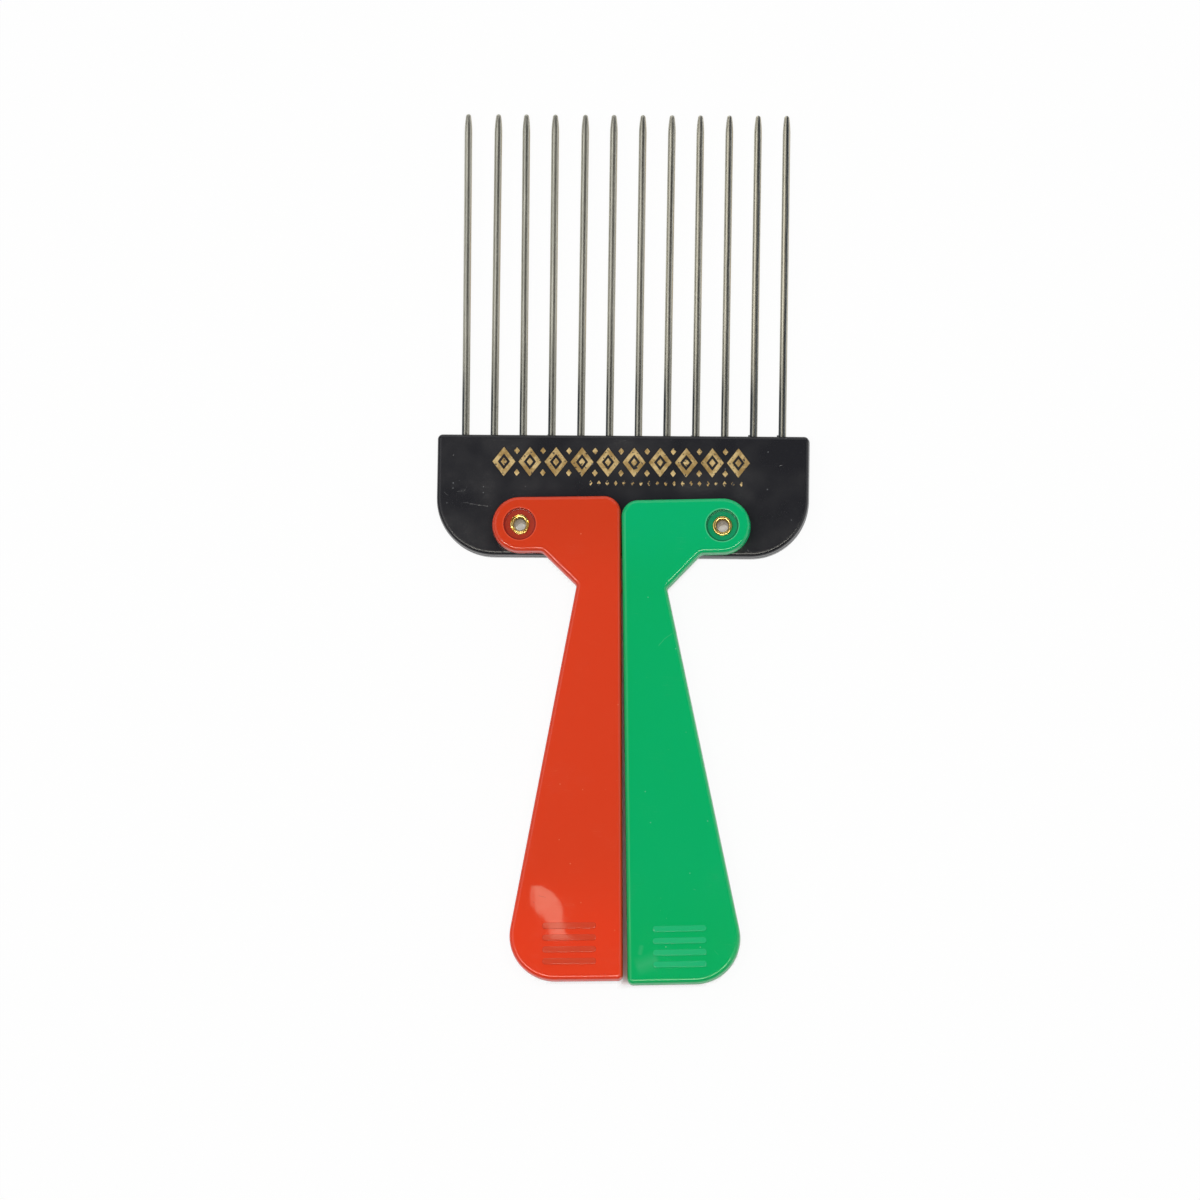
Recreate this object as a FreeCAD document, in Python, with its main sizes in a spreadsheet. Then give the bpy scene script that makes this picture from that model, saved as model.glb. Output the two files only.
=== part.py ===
import FreeCAD, Part
import math
import os

import Sketcher

# Folding afro pick: a moulded head with a comb of steel pins, and two handle leaves that swing on eyelets.
# Millimetres and degrees. The origin is the centre of the head's back face, which is what it lies on.
# +X is to the right, +Y runs along the pins to their points, +Z is up, through the head to the leaves.
Vector = FreeCAD.Vector
doc = FreeCAD.newDocument("AfroPick")
sizes = doc.addObject("Spreadsheet::Sheet", "Sizes")

driving_sizes = {
    # head
    "head_width": 97.7,
    "head_height": 32.1,
    "head_thickness": 6.0,
    "head_shoulder": 1.4,
    "head_haunch": 15.3,
    "head_edge": 0.6,
    # pins
    "pin_count": 12,
    "pin_margin": 7.05,
    "pin_diameter": 2.0,
    "pin_reach": 85.8,
    "pin_floor": 14.0,
    "pin_taper": 7.0,
    "pin_nose": 0.5,
    "pin_fit": 0.01,
    # pivots
    "pivot_inset": 22.3,
    "pivot_rise": 7.5,
    # leaves, both alike
    "leaf_thickness": 5.5,
    "leaf_reach": 120.2,
    "leaf_slit": 0.2,
    "leaf_lift": 0.15,
    "lobe_radius": 7.3,
    "neck_offset": 14.75,
    "neck_drop": 16.3,
    "throat_slope": 45.0,
    "foot_width": 32.1,
    "crown_round": 4.4,
    "heel_round": 1.5,
    "toe_round": 11.9,
    "throat_round": 1.6,
    "neck_round": 0.8,
    "leaf_edge": 0.55,
    # how far each leaf has swung at rest, anticlockwise
    "red_swing": 1.07,
    "green_swing": 1.55,
    # eyelets and the holes they sit in
    "recess_diameter": 8.5,
    "recess_depth": 1.5,
    "barrel_diameter": 3.6,
    "barrel_bore": 2.9,
    "flange_diameter": 5.3,
    "flange_thickness": 0.4,
    "rim_height": 0.6,
    "rim_bevel": 0.35,
    "turn_fit": 0.08,
    "seat_fit": 0.01,
    "clamp_fit": 0.05,
}
for row, (word, number) in enumerate(driving_sizes.items(), start=1):
    sizes.set(f"A{row}", word.replace("_", " "))
    sizes.set(f"B{row}", str(number))
    sizes.setAlias(f"B{row}", word)
doc.recompute()

# Places that several pieces share, each worked out from the driving sizes.
pin_pitch = "((Sizes.head_width - 2 * Sizes.pin_margin) / (Sizes.pin_count - 1))"
pin_root = "(Sizes.head_height - Sizes.pin_floor)"
pivot_x = "(Sizes.head_width / 2 - Sizes.pivot_inset)"
pivot_y = "(Sizes.pivot_rise - Sizes.head_height / 2)"
leaf_back = "(Sizes.head_thickness + Sizes.leaf_lift)"
eyelet_grip = (f"({leaf_back} + Sizes.leaf_thickness + Sizes.clamp_fit"
               " - 2 * Sizes.recess_depth)")


def amount(expression):
    result = sizes.evalExpression(expression)
    return float(getattr(result, "Value", result))


def origin_feature(body, role):
    return next(feature for feature in body.Origin.OriginFeatures if feature.Role == role)


def new_body(label):
    body = doc.addObject("PartDesign::Body", label)
    body.Label = label
    return body


def new_sketch(body, name, role="XY_Plane", lift="0"):
    sketch = body.newObject("Sketcher::SketchObject", name)
    sketch.AttachmentSupport = [(origin_feature(body, role), "")]
    sketch.MapMode = "FlatFace"
    if lift != "0":
        sketch.setExpression("AttachmentOffset.Base.z", lift)
    doc.recompute()
    return sketch


def lock_coordinate(sketch, kind, geometry, end, expression):
    # A distance from the sketch's origin, written so that it is never negative.
    value = amount(expression)
    if abs(value) < 1e-9:
        axis = -2 if kind == "DistanceX" else -1
        sketch.addConstraint(Sketcher.Constraint("PointOnObject", geometry, end, axis))
        return
    if value > 0:
        constraint = Sketcher.Constraint(kind, -1, 1, geometry, end, value)
    else:
        constraint = Sketcher.Constraint(kind, geometry, end, -1, 1, -value)
        expression = f"-({expression})"
    index = sketch.addConstraint(constraint)
    sketch.setExpression(f"Constraints[{index}]", expression)


def draw_outline(sketch, corners, arcs=None):
    # A closed outline through corners given as (x, y) expressions. Run k joins corner k to the next one.
    # It is straight, or, where arcs has k, an arc: (centre x, centre y, turn, axis that fixes its end).
    arcs = arcs or {}
    points = [Vector(amount(x), amount(y), 0) for x, y in corners]
    starts, ends = [], []
    for k, point in enumerate(points):
        target = points[(k + 1) % len(points)]
        if k in arcs:
            centre_x, centre_y, turn, _ = arcs[k]
            centre = Vector(amount(centre_x), amount(centre_y), 0)
            first = math.atan2(point.y - centre.y, point.x - centre.x)
            last = math.atan2(target.y - centre.y, target.x - centre.x)
            sweep = (turn * (last - first)) % math.tau
            middle_angle = first + turn * sweep / 2
            radius = (point - centre).Length
            middle = centre + Vector(math.cos(middle_angle), math.sin(middle_angle), 0) * radius
            sketch.addGeometry(Part.Arc(point, middle, target), False)
            forward = (sketch.getPoint(k, 1) - point).Length < (sketch.getPoint(k, 2) - point).Length
            starts.append(1 if forward else 2)
            ends.append(2 if forward else 1)
        else:
            sketch.addGeometry(Part.LineSegment(point, target), False)
            starts.append(1)
            ends.append(2)
    for k, (x, y) in enumerate(corners):
        before = (k - 1) % len(corners)
        sketch.addConstraint(Sketcher.Constraint("Coincident", before, ends[before], k, starts[k]))
        fixed = arcs[before][3] if before in arcs else "xy"
        if "x" in fixed:
            lock_coordinate(sketch, "DistanceX", k, starts[k], x)
        if "y" in fixed:
            lock_coordinate(sketch, "DistanceY", k, starts[k], y)
    for k, (centre_x, centre_y, _, _) in arcs.items():
        lock_coordinate(sketch, "DistanceX", k, 3, centre_x)
        lock_coordinate(sketch, "DistanceY", k, 3, centre_y)
    doc.recompute()


def draw_circle(sketch, centre_x, centre_y, diameter):
    centre = Vector(amount(centre_x), amount(centre_y), 0)
    circle = Part.Circle(centre, Vector(0, 0, 1), amount(diameter) / 2)
    index = sketch.addGeometry(circle, False)
    lock_coordinate(sketch, "DistanceX", index, 3, centre_x)
    lock_coordinate(sketch, "DistanceY", index, 3, centre_y)
    size = sketch.addConstraint(Sketcher.Constraint("Diameter", index, amount(diameter)))
    sketch.setExpression(f"Constraints[{size}]", diameter)


def slab(body, sketch, thickness):
    pad = body.newObject("PartDesign::Pad", "Slab")
    pad.Profile = sketch
    pad.SideType = "Symmetric"
    pad.setExpression("Length", thickness)
    doc.recompute()
    return pad


def cut(body, name, sketch, depth=None, inward=False):
    pocket = body.newObject("PartDesign::Pocket", name)
    pocket.Profile = sketch
    pocket.Reversed = inward
    if depth is None:
        pocket.Type = "ThroughAll"
        pocket.SideType = "Symmetric"
    else:
        pocket.setExpression("Length", depth)
    before = body.Shape.Volume
    doc.recompute()
    if pocket.Shape.Volume >= before:
        raise RuntimeError(f"{body.Label}: {name} cuts nothing")
    return pocket


def dress_edges(body, name, base, chosen, kind, size):
    names = [f"Edge{i}" for i, edge in enumerate(base.Shape.Edges, start=1) if chosen(edge)]
    feature = body.newObject(f"PartDesign::{kind}", name)
    feature.Base = (base, names)
    feature.setExpression("Radius" if kind == "Fillet" else "Size", size)
    doc.recompute()
    return feature


def upright_at(x, y):
    # The edge that stands on the corner (x, y) of an outline.
    corner_x, corner_y = amount(x), amount(y)
    return lambda edge: all(
        math.hypot(vertex.X - corner_x, vertex.Y - corner_y) < 1e-4 for vertex in edge.Vertexes)


def on_face_rim(thickness):
    half = amount(thickness) / 2
    return lambda edge: all(abs(abs(vertex.Z) - half) < 1e-6 for vertex in edge.Vertexes)


def make_head():
    body = new_body("head_block")
    body.setExpression("Placement.Base.z", "Sizes.head_thickness / 2")
    right, top = "Sizes.head_width / 2", "Sizes.head_height / 2"
    left, bottom = f"-{right}", f"-{top}"
    outline = new_sketch(body, "HeadOutline")
    draw_outline(outline, [(left, bottom), (right, bottom), (right, top), (left, top)])
    feature = slab(body, outline, "Sizes.head_thickness")
    for name, x, y, radius in (
            ("HaunchLeft", left, bottom, "Sizes.head_haunch"),
            ("HaunchRight", right, bottom, "Sizes.head_haunch"),
            ("ShoulderLeft", left, top, "Sizes.head_shoulder"),
            ("ShoulderRight", right, top, "Sizes.head_shoulder")):
        feature = dress_edges(body, name, feature, upright_at(x, y), "Fillet", radius)
    dress_edges(
        body, "HeadRim", feature, on_face_rim("Sizes.head_thickness"), "Chamfer", "Sizes.head_edge")

    eyelet_holes = new_sketch(body, "EyeletHoles")
    seats = new_sketch(body, "EyeletSeats", lift="-Sizes.head_thickness / 2")
    for x in (f"-{pivot_x}", pivot_x):
        draw_circle(eyelet_holes, x, pivot_y, "Sizes.barrel_diameter + 2 * Sizes.seat_fit")
        draw_circle(seats, x, pivot_y, "Sizes.recess_diameter")
    cut(body, "EyeletBores", eyelet_holes)
    cut(body, "BackRecesses", seats, "Sizes.recess_depth", inward=True)

    first_hole = new_sketch(body, "FirstPinHole", "XZ_Plane", "-Sizes.head_height / 2")
    draw_circle(first_hole, pin_x(0), "0", "Sizes.pin_diameter + 2 * Sizes.pin_fit")
    hole = cut(body, "PinHole", first_hole, pin_root, inward=True)
    row = body.newObject("PartDesign::LinearPattern", "PinHoleRow")
    row.Originals = [hole]
    row.Direction = (first_hole, ["H_Axis"])
    row.setExpression("Length", f"(Sizes.pin_count - 1) * {pin_pitch}")
    row.setExpression("Occurrences", "Sizes.pin_count")
    body.Tip = row
    doc.recompute()
    return body


def pin_x(index):
    return f"({index} - (Sizes.pin_count - 1) / 2) * {pin_pitch}"


def make_pin(index):
    body = new_body(f"pin_{index + 1:02d}")
    body.setExpression("Placement.Base.x", pin_x(index))
    body.setExpression("Placement.Base.y", f"Sizes.head_height / 2 - {pin_root}")
    body.setExpression("Placement.Base.z", "Sizes.head_thickness / 2")
    # The point is an ogive that leaves the shank smoothly and ends in a small bevelled tip.
    shank = "(Sizes.pin_diameter / 2)"
    tip = f"({pin_root} + Sizes.pin_reach)"
    bevel_start = f"({tip} - Sizes.pin_nose / 2)"
    taper_start = f"({tip} - Sizes.pin_taper)"
    fall = f"({shank} - Sizes.pin_nose)"
    ogive = f"((({bevel_start} - {taper_start}) ^ 2 + {fall} ^ 2) / (2 * {fall}))"
    profile = new_sketch(body, "PinProfile")
    draw_outline(
        profile,
        [("0", "0"), (shank, "0"), (shank, taper_start), ("Sizes.pin_nose", bevel_start),
         ("Sizes.pin_nose / 2", tip), ("0", tip)],
        arcs={2: (f"{shank} - {ogive}", taper_start, 1, "y")})
    turned = body.newObject("PartDesign::Revolution", "Turned")
    turned.Profile = profile
    turned.ReferenceAxis = (profile, ["V_Axis"])
    turned.Angle = 360
    doc.recompute()
    return body


def make_leaf(label, side, swing):
    # side is -1 for the leaf on the left and 1 for the one on the right. Its own origin is its pivot.
    body = new_body(label)
    body.setExpression("Placement.Base.x", f"{side} * {pivot_x}")
    body.setExpression("Placement.Base.y", pivot_y)
    body.setExpression("Placement.Base.z", f"{leaf_back} + Sizes.leaf_thickness / 2")
    body.Placement.Rotation = FreeCAD.Rotation(Vector(0, 0, 1), amount(swing))
    body.setExpression("Placement.Rotation.Angle", swing)

    def across(distance):
        return f"{-side} * ({distance})"

    inner = f"{pivot_x} - Sizes.leaf_slit / 2"
    throat = f"Sizes.neck_offset - (Sizes.neck_drop - Sizes.lobe_radius) / tan(Sizes.throat_slope)"
    crown_corner = (across(inner), "Sizes.lobe_radius")
    heel_corner = (across(inner), "-Sizes.leaf_reach")
    toe_corner = (across(f"{inner} - Sizes.foot_width"), "-Sizes.leaf_reach")
    neck_corner = (across("Sizes.neck_offset"), "-Sizes.neck_drop")
    throat_corner = (across(throat), "-Sizes.lobe_radius")
    outline = new_sketch(body, "LeafOutline")
    draw_outline(
        outline,
        [("0", "Sizes.lobe_radius"), crown_corner, heel_corner, toe_corner, neck_corner, throat_corner,
         ("0", "-Sizes.lobe_radius")],
        arcs={6: ("0", "0", side, "")})
    feature = slab(body, outline, "Sizes.leaf_thickness")
    for name, corner, radius in (
            ("Crown", crown_corner, "Sizes.crown_round"),
            ("Heel", heel_corner, "Sizes.heel_round"),
            ("Toe", toe_corner, "Sizes.toe_round"),
            ("Neck", neck_corner, "Sizes.neck_round"),
            ("Throat", throat_corner, "Sizes.throat_round")):
        feature = dress_edges(body, name, feature, upright_at(*corner), "Fillet", radius)
    dress_edges(
        body, "LeafRim", feature, on_face_rim("Sizes.leaf_thickness"), "Chamfer", "Sizes.leaf_edge")

    bore = new_sketch(body, "PivotBore")
    draw_circle(bore, "0", "0", "Sizes.barrel_diameter + 2 * Sizes.turn_fit")
    cut(body, "PivotHole", bore)
    recess = new_sketch(body, "RimRecess", lift="Sizes.leaf_thickness / 2")
    draw_circle(recess, "0", "0", "Sizes.recess_diameter")
    cut(body, "FrontRecess", recess, "Sizes.recess_depth")
    return body


def make_eyelet(label, side):
    # Its own origin is on the pivot axis, in the plane where its back flange seats in the head.
    body = new_body(label)
    body.setExpression("Placement.Base.x", f"{side} * {pivot_x}")
    body.setExpression("Placement.Base.y", pivot_y)
    body.setExpression("Placement.Base.z", "Sizes.recess_depth")
    bore, barrel, flange = ("Sizes.barrel_bore / 2", "Sizes.barrel_diameter / 2",
                            "Sizes.flange_diameter / 2")
    back = "-Sizes.flange_thickness"
    rim_top = f"({eyelet_grip} + Sizes.rim_height)"
    section = new_sketch(body, "EyeletSection", "XZ_Plane")
    draw_outline(
        section,
        [(bore, back), (flange, back), (flange, "0"), (barrel, "0"), (barrel, eyelet_grip),
         (flange, eyelet_grip), (f"{flange} - Sizes.rim_bevel", rim_top),
         (f"{bore} + Sizes.rim_bevel", rim_top), (bore, f"{rim_top} - Sizes.rim_bevel")])
    turned = body.newObject("PartDesign::Revolution", "Turned")
    turned.Profile = section
    turned.ReferenceAxis = (section, ["V_Axis"])
    turned.Angle = 360
    doc.recompute()
    return body


sub_parts = [make_head()]
sub_parts += [make_pin(index) for index in range(int(sizes.pin_count))]
sub_parts += [make_leaf("red_leaf", -1, "Sizes.red_swing"), make_leaf("green_leaf", 1, "Sizes.green_swing")]
sub_parts += [make_eyelet("red_eyelet", -1), make_eyelet("green_eyelet", 1)]
doc.recompute()

for item in doc.Objects:
    if "Invalid" in item.State or "Error" in item.State:
        raise RuntimeError(f"{item.Name} failed: {item.State}")
for body in sub_parts:
    if body.Shape.isNull() or not body.Shape.isValid() or len(body.Shape.Solids) != 1:
        raise RuntimeError(f"{body.Label} is not one valid solid")

os.makedirs("parts", exist_ok=True)
for body in sub_parts:
    body.Shape.exportStep(f"parts/{body.Label}.step")
    print(f"{body.Label}: {body.Shape.Volume:.1f} mm3")
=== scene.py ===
import math

import bmesh
import bpy
import numpy as np
from mathutils import Matrix


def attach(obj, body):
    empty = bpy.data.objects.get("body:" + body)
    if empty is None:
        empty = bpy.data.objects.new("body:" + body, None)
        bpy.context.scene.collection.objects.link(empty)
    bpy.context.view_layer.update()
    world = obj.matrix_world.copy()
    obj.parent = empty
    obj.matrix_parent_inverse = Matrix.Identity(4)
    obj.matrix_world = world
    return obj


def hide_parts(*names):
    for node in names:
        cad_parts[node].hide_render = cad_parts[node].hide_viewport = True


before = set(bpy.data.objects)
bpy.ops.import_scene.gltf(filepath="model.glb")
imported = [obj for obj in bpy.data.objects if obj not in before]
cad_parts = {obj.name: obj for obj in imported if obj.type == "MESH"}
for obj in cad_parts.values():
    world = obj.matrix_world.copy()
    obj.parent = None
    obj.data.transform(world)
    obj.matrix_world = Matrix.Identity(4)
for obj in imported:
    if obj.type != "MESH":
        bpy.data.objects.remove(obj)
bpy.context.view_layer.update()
mm = 0.001
print("frame loaded")

# Places that the pieces share, in millimetres, as the solids have them.
pivot = dict(x=26.55, y=-8.55)
head = dict(
    width=97.7, height=32.1, thickness=6.0, shoulder=1.4, haunch=15.3,
    edgeRound=1.1, backRound=0.35, draft=0.04, partingRidge=0.035, bore=1.81,
)
leaf = dict(
    thickness=5.5, back=6.15, inner=26.45, lobe=7.3, reach=120.2, foot=32.1,
    neckOffset=14.75, neckDrop=16.3, throatOffset=5.75, crownRound=4.4, heelRound=1.5,
    toeRound=11.9, neckRound=0.8, throatRound=1.8, edgeRound=1.22, backRound=0.35,
    draft=0.05, partingRidge=0.035, recess=4.25, recessDepth=1.5, bore=1.88,
    lip=dict(red=0.05, green=0.15),
)
swing = dict(red=1.07, green=1.55)  # degrees from square at rest
inwards = dict(red=1, green=-1)  # which way the other leaf lies
leafFront = leaf["back"] + leaf["thickness"]
halfWidth, halfHeight = head["width"] / 2, head["height"] / 2
cornerSteps, holeSteps = 26, 72  # points on each rounded corner, and round each hole


def meshOf(name, points, faces):
    mesh = bpy.data.meshes.new(name)
    mesh.from_pydata((np.asarray(points) * mm).reshape(-1, 3).tolist(), [], faces)
    return mesh


def newObject(name, data):
    made = bpy.data.objects.new(name, data)
    bpy.context.scene.collection.objects.link(made)
    return made


def addPiece(name, points, faces, material, body, replaces=(), slot=None, hardAngle=38, fill=()):
    # Points are in millimetres. Open rims at the heights in fill are closed with flat faces.
    mesh = meshOf(name, points, faces)
    made = bmesh.new()
    made.from_mesh(mesh)
    for height in fill:
        rim = [line for line in made.edges if line.is_boundary and abs(line.verts[0].co.z - height * mm) < 1e-7]
        bmesh.ops.triangle_fill(made, use_beauty=True, edges=rim)
    bmesh.ops.recalc_face_normals(made, faces=made.faces)
    made.to_mesh(mesh)
    made.free()
    mesh.shade_smooth()
    mesh.set_sharp_from_angle(angle=math.radians(hardAngle))
    mesh.materials.append(material)
    piece = newObject(name, mesh)
    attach(piece, body)
    if replaces:
        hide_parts(*replaces)
    return piece


def gridFaces(rows, columns, start=0, closeRows=False):
    # Quads of a grid that is closed around its columns: row i, column j joins row i + 1, column j + 1.
    i, j = np.meshgrid(np.arange(rows if closeRows else rows - 1), np.arange(columns), indexing="ij")
    nextI, nextJ = (i + 1) % rows * columns, (j + 1) % columns
    quads = np.stack((i * columns + j, i * columns + nextJ, nextI + nextJ, nextI + j), -1)
    return (quads.reshape(-1, 4) + start).tolist()


def sheetFaces(rows, columns):
    # Quads of a grid that is open on all sides.
    index = np.arange(rows * columns).reshape(rows, columns)
    return np.stack((index[:-1, :-1], index[1:, :-1], index[1:, 1:], index[:-1, 1:]), -1).reshape(-1, 4).tolist()


def stackedLoops(loops, heights, closeRows=False):
    # Loops of the same number of points set at heights and joined in order.
    grid = np.stack([np.column_stack((loop, np.full(len(loop), height))) for loop, height in zip(loops, heights)])
    return grid.reshape(-1, 3), gridFaces(*grid.shape[:2], closeRows=closeRows)


def roundedLoop(corners, radii, inset, steps=cornerSteps):
    # Each corner gives way to an arc that touches both its sides. The arc's centre stays where it is and its
    # radius shrinks by the inset, or grows by it where the outline turns inwards. Corners run anticlockwise.
    corners, radii = np.asarray(corners, float), np.asarray(radii, float)
    onward = np.roll(corners, -1, axis=0) - corners
    onward /= np.linalg.norm(onward, axis=1)[:, None]
    arriving = np.roll(onward, 1, axis=0)
    cross = arriving[:, 0] * onward[:, 1] - arriving[:, 1] * onward[:, 0]
    turn = np.arctan2(cross, (arriving * onward).sum(1))
    side = np.sign(turn)
    inward = np.column_stack((-arriving[:, 1], arriving[:, 0]))
    setback = (radii * np.tan(np.abs(turn) / 2))[:, None]
    centres = corners - arriving * setback + inward * (side * radii)[:, None]
    first = np.arctan2(-side * inward[:, 1], -side * inward[:, 0])
    angles = first[:, None] + turn[:, None] * np.linspace(0, 1, steps)
    reach = (radii - side * inset)[:, None]
    return np.stack((centres[:, :1] + reach * np.cos(angles), centres[:, 1:] + reach * np.sin(angles)),
                    -1).reshape(-1, 2)


def edgeProfile(low, high, sizes):
    # Inset and height from the front face over a round rim, down a wall that leans out to a thin parting ridge at
    # mid height, and back under to a sharper rim at the other face. A ring inside each rim keeps the faces flat.
    middle = (low + high) / 2

    def half(reach, roundness):
        turns = np.linspace(0, np.pi / 2, 14)
        lean = sizes["draft"] * (reach - roundness)
        rim = np.column_stack((lean + roundness * (1 - np.sin(turns)), roundness * (np.cos(turns) - 1)))
        return np.vstack(([lean + roundness + 0.12, 0], rim, [0.004, 0.12 - reach],
                          [-sizes["partingRidge"], 0.05 - reach]))

    upper = half(high - middle, sizes["edgeRound"]) + (0, high)
    lower = half(middle - low, sizes["backRound"])[::-1] * (1, -1) + (0, low)
    return np.vstack((upper, lower))


def circle(steps):
    return np.linspace(0, 2 * np.pi, steps, endpoint=False)


def addPlate(name, corners, radii, edge, holes, colour, *how):
    # The edge's section carried along the outline, and each hole's section turned about its axis. Both flat
    # faces are filled between the loops. A plate with a colour is a leaf, and takes its place.
    points, faces = stackedLoops([roundedLoop(corners, radii, inset) for inset in edge[:, 0]], edge[:, 1])
    around = circle(holeSteps)
    for centreX, centreY, section in holes:
        radius, height = section[:, :1], section[:, 1:]
        ring = np.stack((centreX + radius * np.cos(around), centreY + radius * np.sin(around),
                         height + 0 * around), -1)
        faces += gridFaces(*ring.shape[:2], len(points))
        points = np.vstack((points, ring.reshape(-1, 3)))
    if colour:
        points = swung(points, colour)
    return addPiece(name, points, faces, *how, fill=(edge[0, 1], edge[-1, 1]))


def turned(section, steps, centre, axis="z", change=None):
    # A section of radius and height turned about an axis, from its far side round.
    angles = np.pi / 2 + circle(steps)
    radius, height = section[:, :1] + 0 * angles, section[:, 1:] + 0 * angles
    if change is not None:
        radius, height = change(radius, height, angles)
    across, up = radius * np.cos(angles), radius * np.sin(angles)
    return np.stack((across, up, height) if axis == "z" else (across, height, -up), -1) + centre


def wrapMap(mesh, name, columns, heights):
    # A UV map on a turned surface: u runs once round, v follows the given height of each row.
    corner = np.empty(len(mesh.loops), np.int32)
    mesh.loops.foreach_get("vertex_index", corner)
    starts, totals = np.empty((2, len(mesh.polygons)), np.int32)
    mesh.polygons.foreach_get("loop_start", starts)
    mesh.polygons.foreach_get("loop_total", totals)
    u = (corner % columns) / columns
    widest = np.repeat(np.maximum.reduceat(u, starts), totals)
    u = np.where((widest - u > 0.5) & (np.repeat(totals, totals) == 4), u + 1, u)
    uv = np.column_stack((u, heights[corner // columns])).astype(np.float32)
    mesh.uv_layers.new(name=name).data.foreach_set("uv", uv.ravel())


def endFaces(around, points):
    # The first and the last loop of a stack, as two faces.
    return [list(range(around)), list(range(len(points) - around, len(points)))]


def mergeParts(parts):
    points, faces, start = [], [], 0
    for partPoints, partFaces in parts:
        points.append(partPoints)
        faces += [[index + start for index in face] for face in partFaces]
        start += len(partPoints)
    return np.vstack(points), faces


def feed(sockets, values):
    # Joins each named or numbered socket to the output given for it, or sets it to the value.
    for key, value in values.items():
        if isinstance(value, bpy.types.NodeSocket):
            value.id_data.links.new(value, sockets[key])
        else:
            sockets[key].default_value = (*value, 1) if sockets[key].type == "RGBA" else value


def node(tree, kind, values=None, **settings):
    # Adds a node to the next place of eight in a row, and returns its outputs.
    made = tree.nodes.new("ShaderNode" + kind)
    row, column = divmod(len(tree.nodes), 8)
    made.location = (column * 190, -row * 230)
    for key, value in settings.items():
        setattr(made, key, value)
    feed(made.inputs, values or {})
    return made.outputs


def reckon(kind, first, second=0.0):
    # The tree is that of whichever value is a socket.
    tree = (first if isinstance(first, bpy.types.NodeSocket) else second).id_data
    return node(tree, "Math", {0: first, 1: second}, operation=kind)[0]


def times(first, second):
    return reckon("MULTIPLY", first, second)


def larger(first, second):
    return reckon("MAXIMUM", first, second)


def distance(first, second):
    return reckon("ABSOLUTE", reckon("SUBTRACT", first, second))


def ramp(low, high, source):
    # Nought at low, one at high, smooth between.
    return node(source.id_data, "MapRange", {"Value": source, "From Min": low, "From Max": high},
                interpolation_type="SMOOTHSTEP")[0]


def span(source, low, high, start=0.0, end=1.0):
    # Even from low to high while the source goes from start to end.
    return node(source.id_data, "MapRange", {"Value": source, "From Min": start, "From Max": end,
                                             "To Min": low, "To Max": high})[0]


def noise(vector, scale, detail, turn=0.0, distortion=0.0):
    # A scale of three numbers stretches the noise along its own axes, which are turned.
    if isinstance(scale, tuple):
        vector = node(vector.id_data, "Mapping", {0: vector, "Rotation": (0, 0, turn), "Scale": scale})[0]
        scale = 1.0
    return node(vector.id_data, "TexNoise", {"Vector": vector, "Scale": scale, "Detail": detail,
                                             "Distortion": distortion})["Fac"]


def bump(height, strength, depth, **under):
    return node(height.id_data, "Bump", {"Height": height, "Strength": strength, "Distance": depth, **under})[0]


def ownPlace(tree):
    return node(tree, "TexCoord")["Object"]


def mixColours(share, first, second):
    return node(share.id_data, "Mix", {0: share, 6: first, 7: second}, data_type="RGBA")[2]


def layered(colour, look, coats):
    # Lays coat after coat of the look's colours over a colour, each where its share says.
    for name, share in coats:
        colour = mixColours(share, colour, look[name])
    return colour


def newGroup(name, inputs, outputs):
    # Inputs have these values. A place or normal is a vector, and all else is a number.
    group = bpy.data.node_groups.new(name, "ShaderNodeTree")
    for way, labels in (("INPUT", inputs), ("OUTPUT", outputs)):
        for label in labels:
            kind = "NodeSocketVector" if label in ("Place", "Normal") else "NodeSocketFloat"
            socket = group.interface.new_socket(name=label, in_out=way, socket_type=kind)
            if inputs.get(label) is not None:
                socket.default_value = inputs[label]
    enter, leave = group.nodes.new("NodeGroupInput"), group.nodes.new("NodeGroupOutput")
    enter.location, leave.location = (-190, 0), (1600, 0)
    return group, enter.outputs, leave.inputs


def newMaterial(name, **plain):
    material = bpy.data.materials.new(name)
    material.use_nodes = True
    tree = material.node_tree
    sockets = tree.nodes["Principled BSDF"].inputs
    feed(sockets, {key.replace("_", " "): value for key, value in plain.items()})
    return material, tree, sockets


def buildScuffs():
    # Hair scratches: thin bands where a stretched noise crosses its middle, thinned out by a second, cloudy noise.
    # Specks: the middles of a few cells of a fine cell pattern.
    group, enter, leave = newGroup("scuffs", {"Scratch": 0.5, "Speck": 0.5, "Scale": 1.0},
                                   ("Scratches", "Specks", "Clouds"))
    place = node(group, "VectorMath", {0: ownPlace(group), "Scale": enter["Scale"]}, operation="SCALE")[0]
    hairs = [ramp(width, 0.0, distance(noise(place, stretch, 1.0, turn, 0.4), 0.5))
             for turn, stretch, width in ((0.5, (60, 900, 60), 0.006), (-0.9, (50, 700, 50), 0.005))]
    cloud = noise(place, 70.0, 3.0)
    kept = times(larger(*hairs), ramp(0.52, 0.72, cloud))
    cells = node(group, "TexVoronoi", {"Vector": place, "Scale": 420.0})
    few = ramp(0.93, 0.98, node(group, "SeparateColor", {0: cells["Color"]})[0])
    speck = times(ramp(0.16, 0.05, cells["Distance"]), few)
    feed(leave, {"Scratches": times(kept, enter["Scratch"]), "Specks": times(speck, enter["Speck"]), "Clouds": cloud})
    return group


def buildMouldSkin():
    # A moulding's skin as one bumped normal: a slow swell from cooling, a faint fine grain, and dents.
    group, enter, leave = newGroup("mouldSkin", {"Swell": 0.3, "Grain": 0.1, "Dents": 0.0}, ("Normal",))
    place = ownPlace(group)
    swell = bump(noise(place, 45.0, 1.0), enter["Swell"], 0.0012)
    grain = bump(noise(place, 2600.0, 2.0), enter["Grain"], 0.00004, Normal=swell)
    feed(leave, {"Normal": bump(enter["Dents"], 1.0, 0.00006, Normal=grain)})
    return group


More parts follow.
